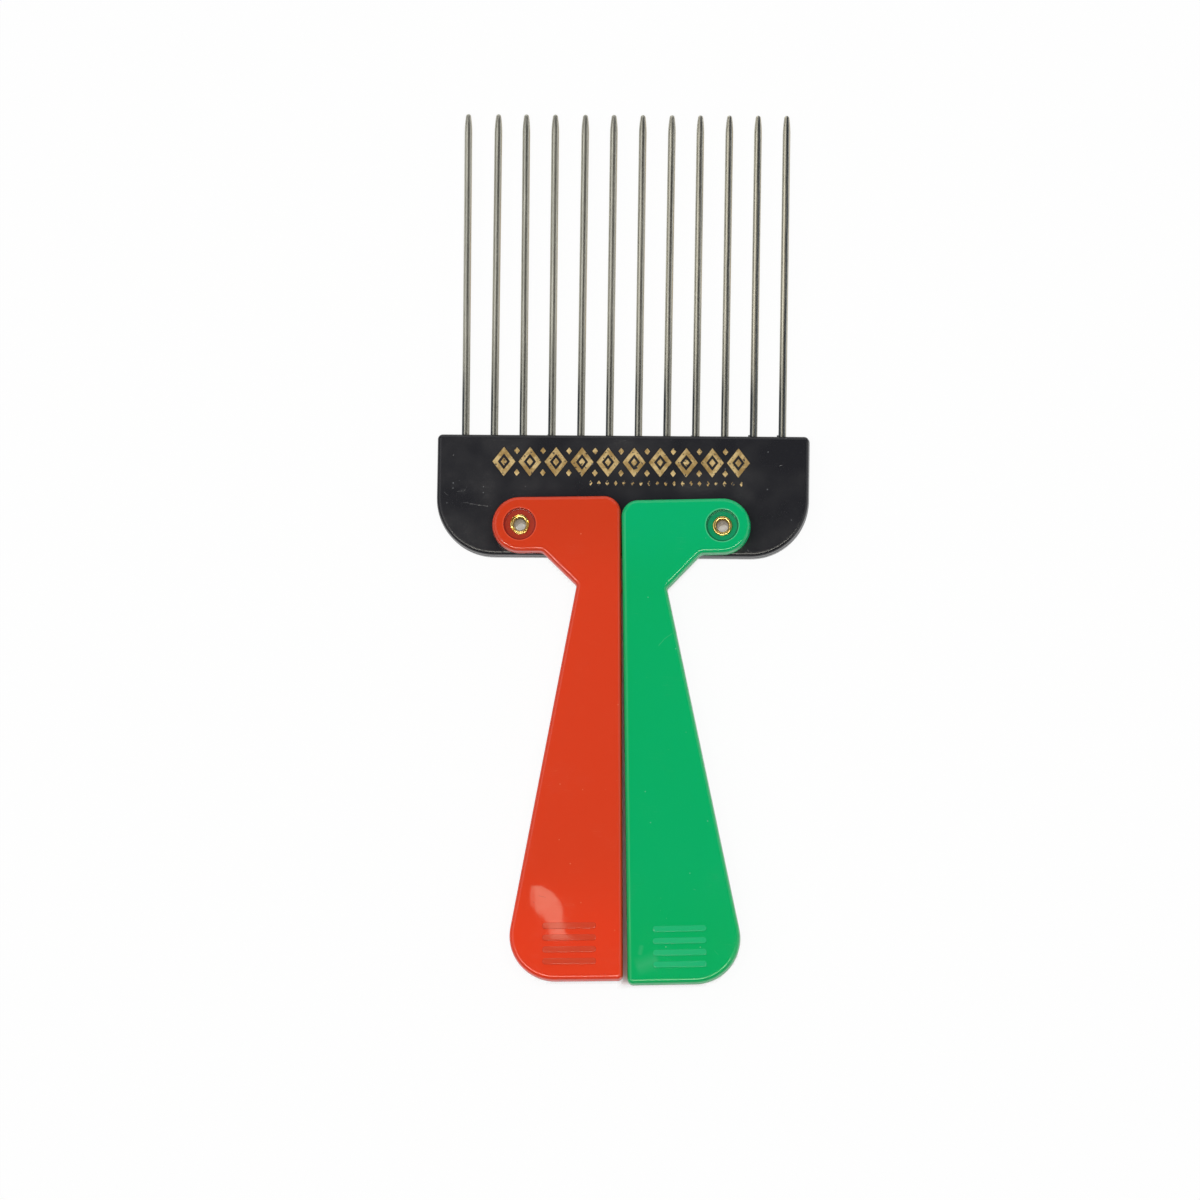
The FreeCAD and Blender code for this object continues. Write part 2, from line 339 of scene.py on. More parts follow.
def buildScratchMark():
    # One scratch or smear: the places within its width of a line that wanders with one noise and is broken up by
    # another. It lies on the upper face alone.
    group, enter, leave = newGroup(
        "scratchMark", {"Place": None, "Angle": 0.0, "Length": 0.002, "Width": 0.0001, "Break": 0.5,
                        "Wander": 0.0, "Fineness": 1500.0}, ("Mark",))
    off = node(group, "VectorMath", {0: ownPlace(group), 1: enter["Place"]}, operation="SUBTRACT")[0]
    spun = node(group, "VectorRotate", {"Vector": off, "Angle": enter["Angle"]}, rotation_type="Z_AXIS",
                invert=True)[0]
    along, across, up = node(group, "SeparateXYZ", {0: spun})
    sway = times(reckon("SUBTRACT", noise(off, 420.0, 1.0), 0.5), enter["Wander"])
    width = reckon("DIVIDE", distance(across, sway), enter["Width"])
    thin = reckon("SUBTRACT", 1.0, reckon("MINIMUM", width, 1.0))
    length = reckon("DIVIDE", reckon("ABSOLUTE", along), enter["Length"])
    ragged = reckon("SUBTRACT", noise(off, enter["Fineness"], 2.0), times(enter["Break"], 0.62))
    whole = times(ramp(0.0, 0.22, ragged), ramp(-0.0007, -0.0003, up))
    feed(leave, {"Mark": times(times(thin, ramp(1.0, 0.6, length)), whole)})
    return group


scuffs, mouldSkin, scratchMark = buildScuffs(), buildMouldSkin(), buildScratchMark()


def marksOn(tree, marks, z):
    # The strongest of several placed scratches, each with its own strength. A wide one is a haze of coarser grain.
    total = 0.0
    for x, y, degrees, length, width, broken, wander, strength in marks:
        one = node(tree, "Group", {
            "Place": (x * mm, y * mm, z * mm), "Angle": math.radians(degrees), "Length": length * mm,
            "Width": width * mm, "Break": broken, "Wander": wander * mm,
            "Fineness": 1500.0 if width < 0.5 else 420.0}, node_tree=scratchMark)[0]
        total = larger(total, times(one, strength))
    return total


# Each look's marks are scratches: x, y, degrees, half length, half width, how broken, wander, strength.
headLook = dict(
    base=(0.0118, 0.012, 0.0158), cloudy=(0.0142, 0.014, 0.0178), scuffed=(0.15, 0.15, 0.155),
    dust=(0.26, 0.27, 0.28), roughness=0.31, rimRoughness=0.17,
    wear=dict(Scratch=0.12, Speck=0.9, Scale=1.5), skin=dict(Swell=0.1, Grain=0.3),
    marks=[
        (-38.2, -2.75, -8, 4.4, 0.13, 0.55, 1.1, 0.42), (-36.5, -3.1, -3, 4.0, 0.08, 0.9, 0.8, 0.34),
        (-46.3, 0.1, -42, 0.9, 0.1, 0.4, 0.3, 0.3), (-42.6, 0.8, 5, 1.0, 0.09, 0.4, 0.3, 0.4),
        (-41.2, 1.4, 62, 0.9, 0.09, 0.6, 0.4, 0.5), (-42.0, 1.6, 20, 3.6, 2.4, 0.75, 0.0, 0.11),
        (-35.6, 0.3, 35, 3.2, 2.0, 0.75, 0.0, 0.09), (33.2, -14.4, -62, 0.42, 0.13, 0.1, 0.2, 1.0),
        (32.6, -14.9, 10, 0.3, 0.12, 0.1, 0.2, 0.8), (34.0, -14.9, -30, 0.3, 0.1, 0.1, 0.2, 0.8),
        (41.5, 8.2, 15, 0.5, 0.1, 0.3, 0.2, 0.5), (-44.5, 10.4, 70, 0.25, 0.12, 0.1, 0.1, 0.9)],
)


def blackPlastic():
    # Satin on the face, and polished by handling on its rims and walls.
    material, tree, sockets = newMaterial("headPlastic", IOR=1.5)
    wear = node(tree, "Group", headLook["wear"], node_tree=scuffs)
    worn = larger(wear["Scratches"], marksOn(tree, headLook["marks"], head["thickness"]))
    satin = span(wear["Clouds"], headLook["roughness"] - 0.05, headLook["roughness"] + 0.09, 0.35, 0.7)
    front = head["thickness"] * mm
    rim = ramp(front - 0.00003, front - 0.00018, node(tree, "SeparateXYZ", {0: ownPlace(tree)})["Z"])
    feed(sockets, {
        "Base Color": layered(headLook["base"], headLook, (
            ("cloudy", ramp(0.42, 0.68, wear["Clouds"])), ("scuffed", worn), ("dust", wear["Specks"]))),
        "Roughness": node(tree, "Mix", {0: rim, 2: satin, 3: headLook["rimRoughness"]}, data_type="FLOAT")[0],
        "Normal": node(tree, "Group", {**headLook["skin"], "Dents": worn}, node_tree=mouldSkin)[0]})
    return material


# Besides the plastic's own colours, each look holds painted light: shading over the head and towards the end, painted
# shade for the recess floor, the foot of its wall and the bars' feet, and a painted highlight for the recess lip.
redLook = dict(
    face=(0.74, 0.0525, 0.0142), paintedEndLight=(0.84, 0.0525, 0.0142), overHeadShading=(0.675, 0.05, 0.0125),
    pale=(0.86, 0.22, 0.11), recess=(0.4, 0.038, 0.017), glow=(0.9, 0.16, 0.06),
    raised=(0.7, 0.06, 0.022), barFoot=(0.36, 0.016, 0.006), marked=(0.45, 0.018, 0.008),
    lip=(0.8, 0.085, 0.035), wallFoot=(0.3, 0.014, 0.008), roughness=0.07,
    marks=[(-19.1, -106.7, -13, 1.2, 0.1, 0.1, 0.3, 0.8), (-21.3, -108.2, -30, 0.3, 0.12, 0.1, 0.1, 0.7)],
)
greenLook = dict(
    face=(0.0, 0.455, 0.138), paintedEndLight=(0.0, 0.452, 0.124), overHeadShading=(0.0, 0.475, 0.165),
    pale=(0.16, 0.58, 0.34), recess=(0.002, 0.31, 0.125), glow=(0.1, 0.8, 0.3),
    raised=(0.012, 0.5, 0.18), barFoot=(0.0, 0.3, 0.09), marked=(0.1, 0.52, 0.26),
    lip=(0.07, 0.58, 0.26), wallFoot=(0.0, 0.17, 0.065), roughness=0.09,
    marks=[(11.0, -39.7, 52, 1.3, 0.1, 0.2, 0.3, 0.7), (12.8, -38.0, 38, 1.7, 0.09, 0.35, 0.3, 0.6),
           (6.8, -120.5, 80, 1.6, 0.8, 0.3, 0.0, 0.3), (8.5, -124.0, 20, 3.6, 2.8, 0.3, 0.0, 0.3),
           (20.6, -104.5, -20, 0.4, 0.12, 0.2, 0.2, 0.6), (26.5, -121.0, -50, 1.0, 0.08, 0.4, 0.3, 0.4)],
)
leafWear = dict(Scratch=0.1, Speck=0.8, Scale=1.6)
leafDulled = dict(wall=0.16, footRim=0.1, bars=0.06)  # what each adds to the roughness


def handlePlastic(colour, look):
    # Slightly see-through plastic, with painted light in its colour: painted shading over the black head (deeper on
    # the red, paler on the green) and towards the leaf's end, painted shade in the recess, at the foot of its wall
    # and at the feet of the grip bars, and a painted highlight on the recess lip. Walls are duller than the polished
    # face.
    material, tree, sockets = newMaterial(f"{colour}Plastic", IOR=1.5, Subsurface_Weight=0.1,
                                          Subsurface_Scale=0.0015, Subsurface_Radius=look["glow"])
    wear = node(tree, "Group", leafWear, node_tree=scuffs)
    own = node(tree, "Mapping", {0: ownPlace(tree), "Rotation": (0, 0, math.radians(swing[colour])),
                                 "Location": (-inwards[colour] * pivot["x"] * mm, pivot["y"] * mm, 0)},
               vector_type="TEXTURE")[0]
    _, down, height = node(tree, "SeparateXYZ", {0: own})
    flat = node(tree, "Mapping", {0: own, "Scale": (1, 1, 0)})[0]
    away = node(tree, "VectorMath", {0: flat}, operation="LENGTH")["Value"]
    top, recess, rim = leafFront * mm, leaf["recess"] * mm, (leafFront - leaf["edgeRound"]) * mm

    def ring(middle, width):
        # A line round the recess, on the front alone, by its distance from the recess's edge.
        line = ramp(width * mm, width * 0.3 * mm, distance(away, recess + middle * mm))
        return times(line, ramp(top - 0.0022, top - 0.0018, height))

    raised = ramp(top + 0.00005, top + 0.00011, height)
    painted = layered(look["face"], look, (
        # Painted shading where the leaf lies over the black head: deeper on the red, paler on the green.
        ("overHeadShading", ramp(-0.018, 0.004, down)),
        # Painted light towards the leaf's end: paler on the red, a touch deeper on the green.
        ("paintedEndLight", ramp(-0.085, -0.112, down)),
        ("pale", larger(wear["Scratches"], wear["Specks"])),
        ("marked", marksOn(tree, look["marks"], leafFront)),
        # Painted shade on the recess floor.
        ("recess", times(ramp(recess + 0.00012, recess - 0.00005, away),
                         ramp(top - 0.0001, top - 0.0006, height))),
        # Painted shade at the foot of the recess wall, and a painted highlight on the recess lip.
        ("wallFoot", ring(-0.27, 0.27)), ("lip", ring(0.14, 0.2)),
        # Painted shade where each grip bar meets the face.
        ("barFoot", ramp(top + 0.000002, top + 0.00001, height)), ("raised", raised)))
    footRim = times(ramp(-0.098, -0.112, down), ramp(top - 0.000003, top - 0.00003, height))
    rubbed = larger(times(footRim, leafDulled["footRim"]), times(raised, leafDulled["bars"]))
    wall = times(ramp(rim + 0.0002, rim - 0.0003, height), leafDulled["wall"])
    polish = span(wear["Clouds"], look["roughness"] - 0.01, look["roughness"] + 0.025, 0.35, 0.7)
    skin = {"Swell": 0.07, "Grain": span(raised, 0.03, 0.4), "Dents": wear["Scratches"]}
    feed(sockets, {"Base Color": painted, "Normal": node(tree, "Group", skin, node_tree=mouldSkin)[0],
                   "Roughness": reckon("ADD", polish, larger(wall, rubbed))})
    return material


# Beside the steel's own tones and tint, these hold painted light: a dark reflection and shade, highlights, a warm
# reflection, and shade near the head.
wire = dict(
    light=(0.67, 0.655, 0.57), line=(0.46, 0.455, 0.4), darkReflectionAndShade=(0.052, 0.07, 0.092),
    tan=(0.65, 0.545, 0.4), bright=(0.8, 0.78, 0.66), highlightStreak=(0.9, 0.84, 0.66),
    foot=(0.36, 0.355, 0.31), tint=(0.55, 0.55, 0.5),
)


def drawnSteel():
    # Fine drawn lines in colour, roughness and bump. Painted dark reflection and shade lie in two streaks: a broken
    # painted reflection down the front, thicker from wire to wire towards the right, and a wide painted shade on the
    # left near the head.
    # Painted highlights, a warm painted reflection and painted shade near the head are laid on too. The map's u runs
    # round the wire with a half at its front, and v is the height above the head in metres.
    material, tree, sockets = newMaterial("pinSteel", Metallic=1.0, Specular_Tint=wire["tint"])
    place = ownPlace(tree)
    around, above, _ = node(tree, "SeparateXYZ", {0: node(tree, "UVMap", uv_map="wire")[0]})
    x = node(tree, "SeparateXYZ", {0: place})["X"]
    lines = noise(place, (5200, 45, 5200), 3.0)
    crumbs = noise(place, (5500, 1300, 5500), 2.0)
    slow = noise(place, (130, 55, 130), 2.0)
    turn = reckon("ADD", around, span(slow, -0.035, 0.035, 0.3, 0.7))

    def streak(middle, width, soft, drawn=turn):
        return ramp(width + soft, width - soft, distance(drawn, middle))

    def rightward(low, high):
        return span(x, low, high, -0.034, 0.036)

    # Painted dark reflection down the front of each wire, broken up, and thicker towards the right.
    shifted = reckon("SUBTRACT", turn, rightward(0.0, 0.026))
    thick = times(streak(0.548, 0.042, 0.018, shifted), rightward(-0.5, 1.15))
    front = larger(times(streak(0.548, 0.03, 0.016), rightward(0.45, 0.9)), thick)
    whole = larger(ramp(0.34, 0.56, crumbs), rightward(-0.3, 0.85))
    stretch = larger(ramp(0.38, 0.56, slow), rightward(0.0, 0.95))
    # Painted shade: a wide dark streak on the left near the head.
    left = times(streak(0.345, 0.085, 0.02), ramp(0.02, 0.009, above))
    darkest = larger(times(front, times(whole, stretch)), left)
    colour = layered(wire["line"], wire, (
        # Drawn lines, then a warm painted reflection down the right of each wire.
        ("light", ramp(0.36, 0.64, lines)), ("tan", streak(0.7, 0.03, 0.03)),
        # Painted highlights: two pale streaks left of each wire's front, the second stronger towards the right.
        ("bright", streak(0.405, 0.025, 0.03)),
        ("highlightStreak", times(streak(0.43, 0.045, 0.03), rightward(-0.5, 0.9))),
        # Painted shade near the head, then the painted dark reflection and shade.
        ("foot", times(ramp(0.034, 0.014, above), 0.6)), ("darkReflectionAndShade", times(darkest, 0.85))))
    feed(sockets, {"Base Color": colour, "Roughness": span(lines, 0.24, 0.4), "Normal": bump(lines, 0.3, 0.00003)})
    return material


brassLook = dict(bright=(0.93, 0.7, 0.24), old=(0.62, 0.42, 0.14), barrel=(0.42, 0.36, 0.28),
                 barrelPale=(0.75, 0.68, 0.56))
foilLook = dict(deep=(0.5, 0.32, 0.115), bright=(0.92, 0.68, 0.32), bare=(0.03, 0.03, 0.034))


def barrelBrass():
    # Inside the barrel the brass is raw and dull, greyed by the lubricant of the press.
    material, tree, sockets = newMaterial("barrelBrass", Metallic=0.9, Roughness=0.42)
    smear = noise(ownPlace(tree), 900.0, 3.0)
    feed(sockets, {"Base Color": mixColours(smear, brassLook["barrel"], brassLook["barrelPale"])})
    return material


def eyeletBrass():
    material, tree, sockets = newMaterial("eyeletBrass", Metallic=1.0)
    place = ownPlace(tree)
    tarnish = noise(place, 600.0, 4.0)
    old = ramp(0.5, 0.72, tarnish)
    feed(sockets, {"Base Color": mixColours(old, brassLook["bright"], brassLook["old"]),
                   "Roughness": span(tarnish, 0.1, 0.3),
                   "Normal": bump(noise(place, 800.0, 1.0), 0.3, 0.0001)})
    return material


def goldFoil(name, wornFrom, wornTo):
    # Stamped foil: gold that has rubbed off in flecks to the plastic under it.
    material, tree, sockets = newMaterial(name, Roughness=0.36)
    place = ownPlace(tree)
    rub = noise(place, 1300.0, 5.0)
    worn = ramp(wornFrom, wornTo, rub)
    tone = ramp(0.35, 0.65, noise(place, 420.0, 3.0))
    feed(sockets, {
        "Base Color": layered(foilLook["deep"], foilLook, (("bright", tone), ("bare", worn))),
        "Metallic": times(reckon("SUBTRACT", 1.0, worn), 0.6),
        "Normal": bump(rub, 0.4, 0.00005)})
    return material


headPlastic = blackPlastic()
redPlastic, greenPlastic = handlePlastic("red", redLook), handlePlastic("green", greenLook)
pinSteel = drawnSteel()
brass, dullBrass = eyeletBrass(), barrelBrass()
foil, rubbedFoil = goldFoil("goldFoil", 0.58, 0.68), goldFoil("rubbedFoil", 0.44, 0.54)
print("materials ready")


def softStep(wide, narrow, low, high, roundTop, roundFoot):
    # The wall of a round recess, from the face at the wide radius down to its floor, with both corners eased.
    turns = np.linspace(0, np.pi / 2, 6)
    lip = np.column_stack((wide + roundTop * (1 - np.sin(turns)), high - roundTop * (1 - np.cos(turns))))
    foot = np.column_stack((wide - roundFoot * (1 - np.cos(turns)), low + roundFoot * (1 - np.sin(turns))))
    return np.vstack(([wide + roundTop + 0.1, high], lip, foot, [narrow + 0.05, low]))


def buildHead():
    x, y, front, bore = halfWidth, halfHeight, head["thickness"], head["bore"]
    seat = softStep(leaf["recess"], bore, -leaf["recessDepth"], 0, 0.12, 0.25) * (1, -1)
    wall = np.vstack(([bore + 0.12, front], [bore + 0.02, front], [bore, front - 0.03],
                      [bore, leaf["recessDepth"] + 0.02], seat[::-1]))
    addPlate("head_shell", [(-x, -y), (x, -y), (x, y), (-x, y)],
             [head["haunch"], head["haunch"], head["shoulder"], head["shoulder"]], edgeProfile(0, front, head),
             [(-pivot["x"], pivot["y"], wall), (pivot["x"], pivot["y"], wall)], None, headPlastic, "head",
             ["head_block"], "head_plastic")


buildHead()
print("head built")


def leafCorners(colour):
    # Seen from its pivot, with the inner side towards the other leaf.
    outline = np.array([
        (-leaf["lobe"], leaf["lobe"]), (-leaf["lobe"], -leaf["lobe"]), (leaf["throatOffset"], -leaf["lobe"]),
        (leaf["neckOffset"], -leaf["neckDrop"]), (leaf["inner"] - leaf["foot"], -leaf["reach"]),
        (leaf["inner"], -leaf["reach"]), (leaf["inner"], leaf["lobe"])])
    radii = np.array([leaf["lobe"], leaf["lobe"], leaf["throatRound"], leaf["neckRound"], leaf["toeRound"],
                      leaf["heelRound"], leaf["crownRound"]])
    if inwards[colour] < 0:
        outline, radii = outline[::-1] * (-1, 1), radii[::-1]
    return outline, radii


def swung(points, colour):
    # From the leaf's own frame, where its pivot is the origin, to its place on the head.
    angle, (x, y, z) = math.radians(swing[colour]), np.moveaxis(points, -1, 0)
    cosine, sine = math.cos(angle), math.sin(angle)
    return np.stack((-inwards[colour] * pivot["x"] + x * cosine - y * sine,
                     pivot["y"] + x * sine + y * cosine, z), -1)


def buildLeaf(colour, material):
    low, high, bore = leaf["back"], leafFront, leaf["bore"]
    recess = softStep(leaf["recess"], bore, high - leaf["recessDepth"], high, leaf["lip"][colour], 0.3)
    wall = np.vstack((recess, [bore, high - leaf["recessDepth"] - 0.04], [bore, low + 0.05],
                      [bore + 0.04, low], [bore + 0.14, low]))
    addPlate(f"{colour}_handle_shell", *leafCorners(colour), edgeProfile(low, high, leaf), [(0, 0, wall)], colour,
             material, f"{colour}_handle", [f"{colour}_leaf"], f"{colour}_plastic")


buildLeaf("red", redPlastic)
buildLeaf("green", greenPlastic)
print("leaves built")

pins = dict(
    count=12, pitch=7.6, radius=1.0, tip=101.85, taper=5.3, nose=0.66, buriedEnd=-2.05, height=3.0, around=40,
    # How far each one leans at its point and where it leaves the head, as set by hand in the factory.
    lean=[-0.43, -0.07, -0.3, -0.26, 0.08, 0.03, 0.07, 0.16, 0.06, 0.11, 0.07, 0.0],
    shift=[0.2, 0.15, 0.15, 0.08, 0.12, 0.05, 0.04, -0.05, -0.07, -0.07, -0.1, -0.15],
)


def pinX(number):
    return (number - (pins["count"] - 1) / 2) * pins["pitch"]


def buildPin(number):
    # A straight shank, then an arc that leaves it smoothly and runs smoothly into a round nose.
    shank, nose, taper, tip, end = (pins[key] for key in ("radius", "nose", "taper", "tip", "buriedEnd"))
    sweep = (shank ** 2 - nose ** 2 + (taper - nose) ** 2) / (2 * (shank - nose))
    joinAngle = math.atan2(taper - nose, sweep - shank)
    ogive = np.linspace(0, joinAngle, 20)
    noseArc = np.linspace(joinAngle, np.pi / 2, 10)[1:]
    section = np.vstack((
        [0, end], [shank - 0.1, end], [shank, end + 0.1],
        np.column_stack((np.full(24, shank), np.linspace(end + 0.2, tip - taper - 0.01, 24))),
        np.column_stack((shank - sweep + sweep * np.cos(ogive), tip - taper + sweep * np.sin(ogive))),
        np.column_stack((nose * np.cos(noseArc), tip - nose + nose * np.sin(noseArc)))))
    section[:, 0] = np.maximum(section[:, 0], 0.0005)
    around = pins["around"]
    grid = turned(section, around, (pinX(number), 0, pins["height"]), "y")
    rise = np.clip((grid[..., 1] - halfHeight) / (tip - halfHeight), 0, 1)
    grid[..., 0] += pins["shift"][number] * (1 - rise) + pins["lean"][number] * rise ** 1.3
    faces = gridFaces(*grid.shape[:2]) + endFaces(around, grid.reshape(-1, 3))
    label = f"{number + 1:02d}"
    piece = addPiece(f"pin_wire_{label}", grid, faces, pinSteel, "head", [f"pin_{label}"], "pin_steel", 60)
    wrapMap(piece.data, "wire", around, (section[:, 1] - halfHeight) * mm)


for number in range(pins["count"]):
    buildPin(number)
print("pins built")

eyelet = dict(bore=1.45, mouth=1.7, barrel=1.8, flange=2.65, rimTop=0.63, floor=10.17, backSeat=1.5, around=96)
# How true each rim was rolled: how oval, its wander outwards and upwards, and how deep the press creased it.
roll = dict(red=dict(seed=5, oval=0.2, flare=0.1, ripple=0.1, crease=0.3),
            green=dict(seed=8, oval=0.05, flare=0.012, ripple=0.015, crease=0.0))


def buildEyelet(colour):
    # The barrel's wall opens a little at its mouth and rolls outwards over a half ellipse onto the recess floor.
    # The rim's radius and height waver round the ring by a sum of a few waves, and a crease runs along it.
    floor, bore, mouth, flange, seat = (eyelet[key] for key in ("floor", "bore", "mouth", "flange", "backSeat"))
    middle, rollWide = (mouth + flange) / 2, (flange - mouth) / 2
    rolled = np.linspace(0, np.pi, 30)
    lift = np.sin(rolled) ** 0.85 * (eyelet["rimTop"] - 0.12)
    outer = np.column_stack((middle + rollWide * np.cos(rolled), floor + 0.12 + lift))
    steps = np.linspace(0, 1, 9)[1:]
    opening = np.column_stack((mouth - (mouth - bore) * (1 - (1 - steps) ** 2), floor + 0.12 - 1.5 * steps))
    inner = np.column_stack((np.full(12, bore), np.linspace(opening[-1, 1] - 0.2, seat + 0.4, 12)))
    back = np.array([
        (bore, seat + 0.2), (bore + 0.06, seat - 0.12), (bore + 0.22, seat - 0.33), (bore + 0.4, seat - 0.4),
        (flange - 0.18, seat - 0.4), (flange - 0.04, seat - 0.33), (flange, seat - 0.2),
        (flange - 0.04, seat - 0.05), (flange - 0.1, seat), (eyelet["barrel"], seat), (eyelet["barrel"], floor),
        (flange - 0.12, floor + 0.02)])
    section = np.vstack((outer, opening, inner, back))
    rimShare = np.concatenate((np.ones(len(outer)), (1 - steps) ** 1.5, np.zeros(len(inner) + len(back) - 1), [1.0]))
    creased = np.concatenate((np.exp(-((rolled / np.pi - 0.42) / 0.07) ** 2), np.zeros(len(section) - len(outer))))
    how = roll[colour]
    chance = np.random.default_rng(how["seed"])
    waves = np.arange(2, 8)
    sizes = chance.normal(size=(3, len(waves))) / waves ** 0.9
    phases = chance.uniform(0, 2 * np.pi, (3, len(waves)))

    def waver(radius, height, angles):
        out, up, fold = (sizes[:, :, None] * np.cos(waves[:, None] * angles + phases[:, :, None])).sum(1)
        outward = np.clip((radius - mouth) / (flange - mouth), 0, 1)
        raised = np.clip((height - floor) / eyelet["rimTop"], 0, 1)
        spread = how["flare"] * out + how["oval"] * (np.sin(angles) ** 2 - 0.6)
        radius = radius + rimShare[:, None] * spread * (0.45 + 0.55 * outward)
        height = height + rimShare[:, None] * how["ripple"] * up * raised
        return radius, height - creased[:, None] * how["crease"] * np.clip(0.6 + fold, 0, 1.3)

    centre = (-inwards[colour] * pivot["x"], pivot["y"], 0)
    grid = turned(section, eyelet["around"], centre, change=waver)
    piece = addPiece(f"{colour}_eyelet_ring", grid, gridFaces(*grid.shape[:2], closeRows=True), brass, "head",
                     [f"{colour}_eyelet"], "eyelet_brass", 70)
    piece.data.materials.append(dullBrass)
    rows = np.repeat(np.arange(len(section)), eyelet["around"])
    inside = (rows >= len(outer) + 1) & (rows < len(outer) + len(opening) + len(inner))
    piece.data.polygons.foreach_set("material_index", inside.astype(np.int32))


buildEyelet("red")
buildEyelet("green")
print("eyelets built")

# A gold border on the head: a plain chain of lozenges over a row of small ones.
border = dict(left=-34.3, right=33.4, middle=8.75, lozenges=10, width=6.1, height=7.9,
              stroke=1.15, core=(1.7, 2.2), coreRidge=(2.3, 2.95), between=(1.5, 1.9), apart=2.9,
              proud=0.03, burr=0.13, row=(1.0, 1.5), rowY=3.2, rowLeft=-8.4, rowRight=31.2, rowCount=19)


def lozenges(width, height, insets, rounding, centre):
    # A lozenge with eased corners, shrunk towards its middle by each inset.
    corners = np.array([(0, -height / 2), (width / 2, 0), (0, height / 2), (-width / 2, 0)])
    loop = roundedLoop(corners, [rounding] * 4, 0, 6)
    depth = width * height / 2 / math.hypot(width, height)
    return [loop * (1 - inset / depth) + centre for inset in insets]


def ringBand(width, height, stroke, low, high, centre, bevel=0.06):
    # A flat band between two lozenges: outer foot, outer top, inner top, inner foot.
    insets = (0, bevel, stroke - bevel, stroke)
    return stackedLoops(lozenges(width, height, insets, 0.12, centre), (low, high, high, low), closeRows=True)


def solidTile(width, height, low, high, centre, bevel=0.06):
    # A flat lozenge with an eased edge, closed above and below.
    points, faces = stackedLoops(lozenges(width, height, (0, bevel * 0.3, bevel), 0.08, centre),
                                 (low, high - 0.006, high))
    return points, faces + endFaces(len(points) // 3, points)


def buildBorder():
    low, high = head["thickness"] - 0.02, head["thickness"] + border["proud"]
    width, height, burr, middle = border["width"], border["height"], border["burr"], border["middle"]
    centres = np.linspace(border["left"] + width / 2, border["right"] - width / 2, border["lozenges"])
    gold, ridge = [], []
    for x in centres:
        gold += [ringBand(width, height, border["stroke"], low, high, (x, middle)),
                 solidTile(*border["core"], low, high, (x, middle))]
        # The stamp pushed up a hair of plastic round the foil.
        ridge += [ringBand(width + 3.2 * burr, height + 3.6 * burr, burr, low, high + 0.03, (x, middle), 0.04),
                  ringBand(*border["coreRidge"], burr, low, high + 0.02, (x, middle), 0.04)]
    gold += [solidTile(*border["between"], low, high, (x, middle + rise))
             for x in centres[:-1] + (centres[1] - centres[0]) / 2 for rise in (-border["apart"], border["apart"])]
    row = [solidTile(*border["row"], low, high - 0.01, (x, border["rowY"]), 0.04)
           for x in np.linspace(border["rowLeft"], border["rowRight"], border["rowCount"])]
    addPiece("foil_border", *mergeParts(gold), foil, "head", hardAngle=20)
    addPiece("foil_border_edge", *mergeParts(ridge), headPlastic, "head", slot="head_plastic", hardAngle=20)
    addPiece("foil_row", *mergeParts(row), rubbedFoil, "head", hardAngle=20)


buildBorder()
print("border built")

# Lumps: by pin, the direction each points in and its height.
flash = dict(width=0.22, height=0.07, lumps={4: (2.6, 0.25), 9: (3.0, 0.35), 11: (3.0, 0.55), 12: (3.1, 0.6)})
gate = dict(y=-16.8, halfLength=1.7, halfTall=1.3, aboveMiddle=0.4, proud=0.2, sunk=0.05, seed=4)


def buildFlash():
    # A thin collar of plastic round each pin where it leaves the head. Its height swells to a lump on some.
    parts = []
    angles = circle(pins["around"])
    for number in range(pins["count"]):
        x, radius = pinX(number) + pins["shift"][number], pins["radius"]
        toward, lump = flash["lumps"].get(number + 1, (0.0, 0.0))
        off = np.angle(np.exp(1j * (angles - toward)))
        swell = lump * np.exp(-(off / 0.42) ** 2)
        reach, rise = radius + flash["width"] + 0.5 * swell, flash["height"] + swell
        rows = [(reach, -0.05), (reach - 0.05, 0.55 * rise), (reach - 0.12, rise), (radius + 0.01, 0.9 * rise),
                (radius - 0.03, -0.05)]
        grid = np.stack([np.column_stack((x + out * np.cos(angles), halfHeight + up + 0 * rise,
                                          pins["height"] + out * np.sin(angles))) for out, up in rows])
        parts.append((grid.reshape(-1, 3), gridFaces(*grid.shape[:2], closeRows=True)))
    addPiece("pin_flash", *mergeParts(parts), headPlastic, "head", slot="head_plastic", hardAngle=60)


def buildGate():
    # Where the runner was snapped off: a low lump on the leaf's inner wall, broken in its own way.
    chance = np.random.default_rng(gate["seed"])
    across, up = np.meshgrid(np.linspace(-1, 1, 26), np.linspace(-1, 1, 20), indexing="ij")
    dome = np.clip((1 - across ** 6) * (1 - up ** 6), 0, 1) ** 0.5
    bumps = sum(np.cos(k * 2.1 * across + chance.uniform(0, 6)) * np.cos(k * 1.7 * up + chance.uniform(0, 6)) / k
                for k in range(1, 6))
    out = gate["proud"] * dome * (0.75 + 0.18 * bumps) - gate["sunk"]
    z = leaf["back"] + leaf["thickness"] / 2 + gate["aboveMiddle"] + gate["halfTall"] * up
    grid = np.stack((leaf["inner"] + out, gate["y"] + gate["halfLength"] * across, z), -1)
    index = np.arange(out.size).reshape(out.shape)
    rim = np.concatenate((index[:, 0], index[-1, 1:], index[-2::-1, -1], index[0, -2:0:-1]))
    addPiece("red_gate_scar", swung(grid, "red"), sheetFaces(*out.shape) + [rim.tolist()],
             redPlastic, "red_handle", slot="red_plastic", hardAngle=60)


buildFlash()
buildGate()
print("flash and gate built")

grip = dict(u=12.6, v=-110.6, bars=4, gap=3.1, length=14.0, width=1.6, proud=0.16)


